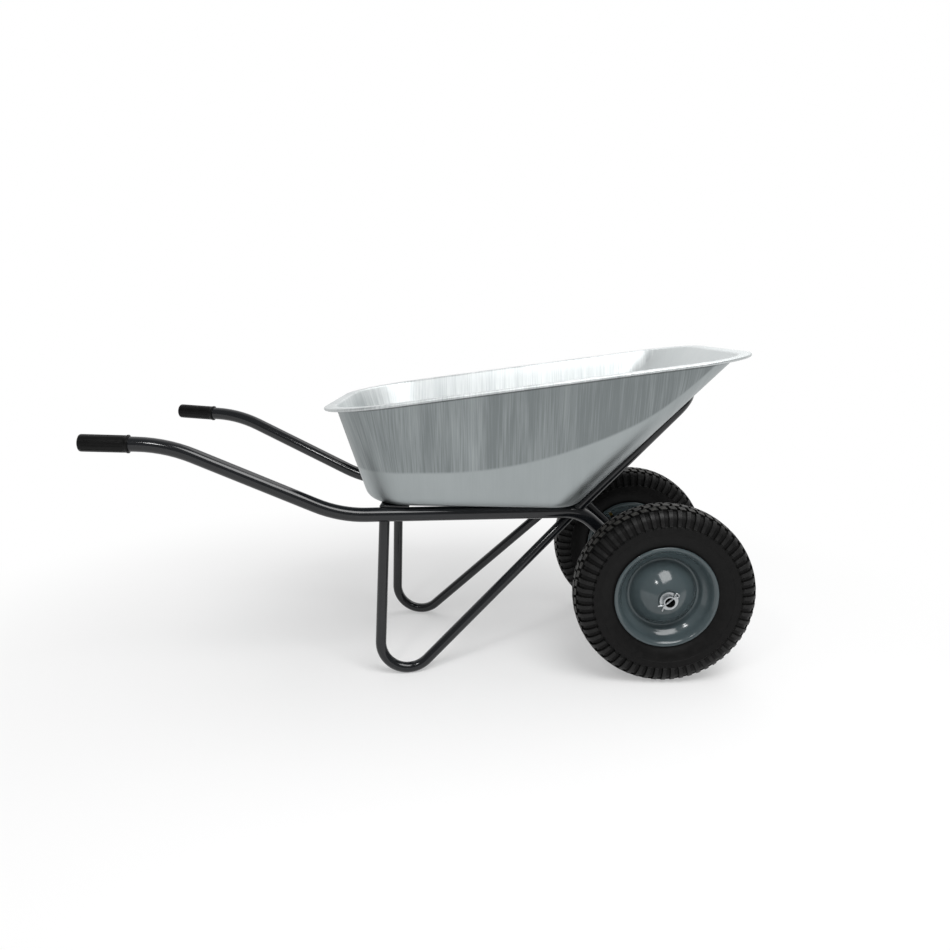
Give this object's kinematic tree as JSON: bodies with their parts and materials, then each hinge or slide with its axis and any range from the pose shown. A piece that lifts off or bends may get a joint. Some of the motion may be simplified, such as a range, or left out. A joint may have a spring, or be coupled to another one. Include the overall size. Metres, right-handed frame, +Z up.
{
  "type": "two wheel wheelbarrow",
  "caption": "Garden wheelbarrow with a deep pressed metal tray on a bent tube frame, pneumatic wheels side by side on one axle, folded tube legs and fluted grips.",
  "frame": {"origin": "on the ground, midway along the length and midway between the wheels", "axes": "+X forward from the grips to the wheels, +Y to the left of the person pushing, +Z up"},
  "size_m": [1.431, 0.612, 0.7264],
  "materials": {
    "zinc_sheet": "hot-dip zinc with a faint drawn streak",
    "dark_paint": "glossy anthracite powder coat",
    "rim_paint": "glossy slate grey enamel",
    "grip_plastic": "matte black",
    "tyre_rubber": "matte black tyre rubber",
    "tube_rubber": "matte black rubber",
    "bush_plastic": "natural nylon",
    "valve_brass": "plain brass",
    "cap_plastic": "matte black",
    "plated_steel": "zinc plated"
  },
  "bodies": {
    "frame": {"tray": "zinc_sheet", "right_main_tube": "dark_paint", "left_main_tube": "dark_paint", "right_grip": "grip_plastic", "left_grip": "grip_plastic", "right_leg": "dark_paint", "left_leg": "dark_paint", "front_loop": "dark_paint", "front_cross_bar": "dark_paint", "rear_cross_bar": "dark_paint", "tray_bolts": "plated_steel", "tray_washers": "plated_steel", "tray_nuts": "plated_steel", "axle": "plated_steel", "axle_collars": "dark_paint", "inner_washers": "plated_steel", "outer_washers": "plated_steel", "split_pins": "plated_steel"},
    "right_wheel": {"right_tyre": "tyre_rubber", "right_inner_tube": "tube_rubber", "right_outer_rim": "rim_paint", "right_inner_rim": "rim_paint", "right_hub": "rim_paint", "right_bushes": "bush_plastic", "right_valve_stem": "valve_brass", "right_valve_cap": "cap_plastic"},
    "left_wheel": {"left_tyre": "tyre_rubber", "left_inner_tube": "tube_rubber", "left_outer_rim": "rim_paint", "left_inner_rim": "rim_paint", "left_hub": "rim_paint", "left_bushes": "bush_plastic", "left_valve_stem": "valve_brass", "left_valve_cap": "cap_plastic"}
  },
  "joints": [
    {"name": "right_wheel_spin", "type": "hinge", "parent": "frame", "child": "right_wheel", "pos_m": [0.5155, -0.201, 0.2], "axis": [0, 1, 0], "continuous": true},
    {"name": "left_wheel_spin", "type": "hinge", "parent": "frame", "child": "left_wheel", "pos_m": [0.5155, 0.201, 0.2], "axis": [0, 1, 0], "continuous": true}
  ]
}
